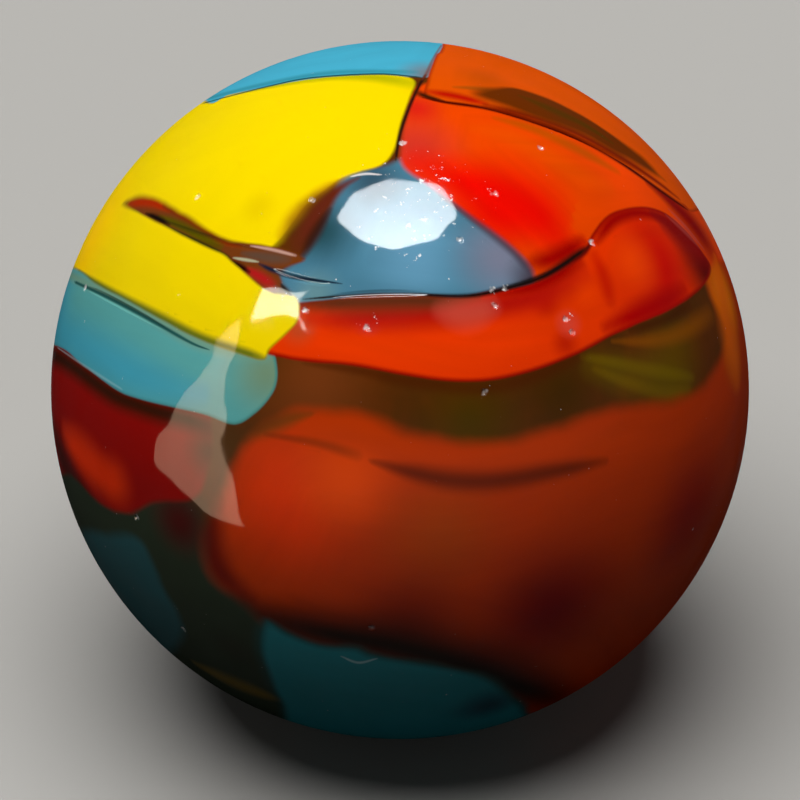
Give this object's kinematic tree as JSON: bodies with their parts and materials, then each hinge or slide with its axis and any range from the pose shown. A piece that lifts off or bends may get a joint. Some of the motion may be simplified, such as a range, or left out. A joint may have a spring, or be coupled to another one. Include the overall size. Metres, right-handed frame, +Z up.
{
  "type": "glass marble",
  "caption": "Solid glass ball with a swirl of opaque yellow, light blue, orange and red ribbons in amber glass, for games and display.",
  "frame": {"origin": "centre of the ball", "axes": "+Z up; the show side of the swirl faces -Y and is tilted up by 35 degrees"},
  "size_m": [0.016, 0.016, 0.016],
  "materials": {
    "swirl_glass": "polished opaque swirl glass, with fine wear pits and shallow fold creases"
  },
  "bodies": {
    "root": {"marble": "swirl_glass"}
  },
  "joints": []
}
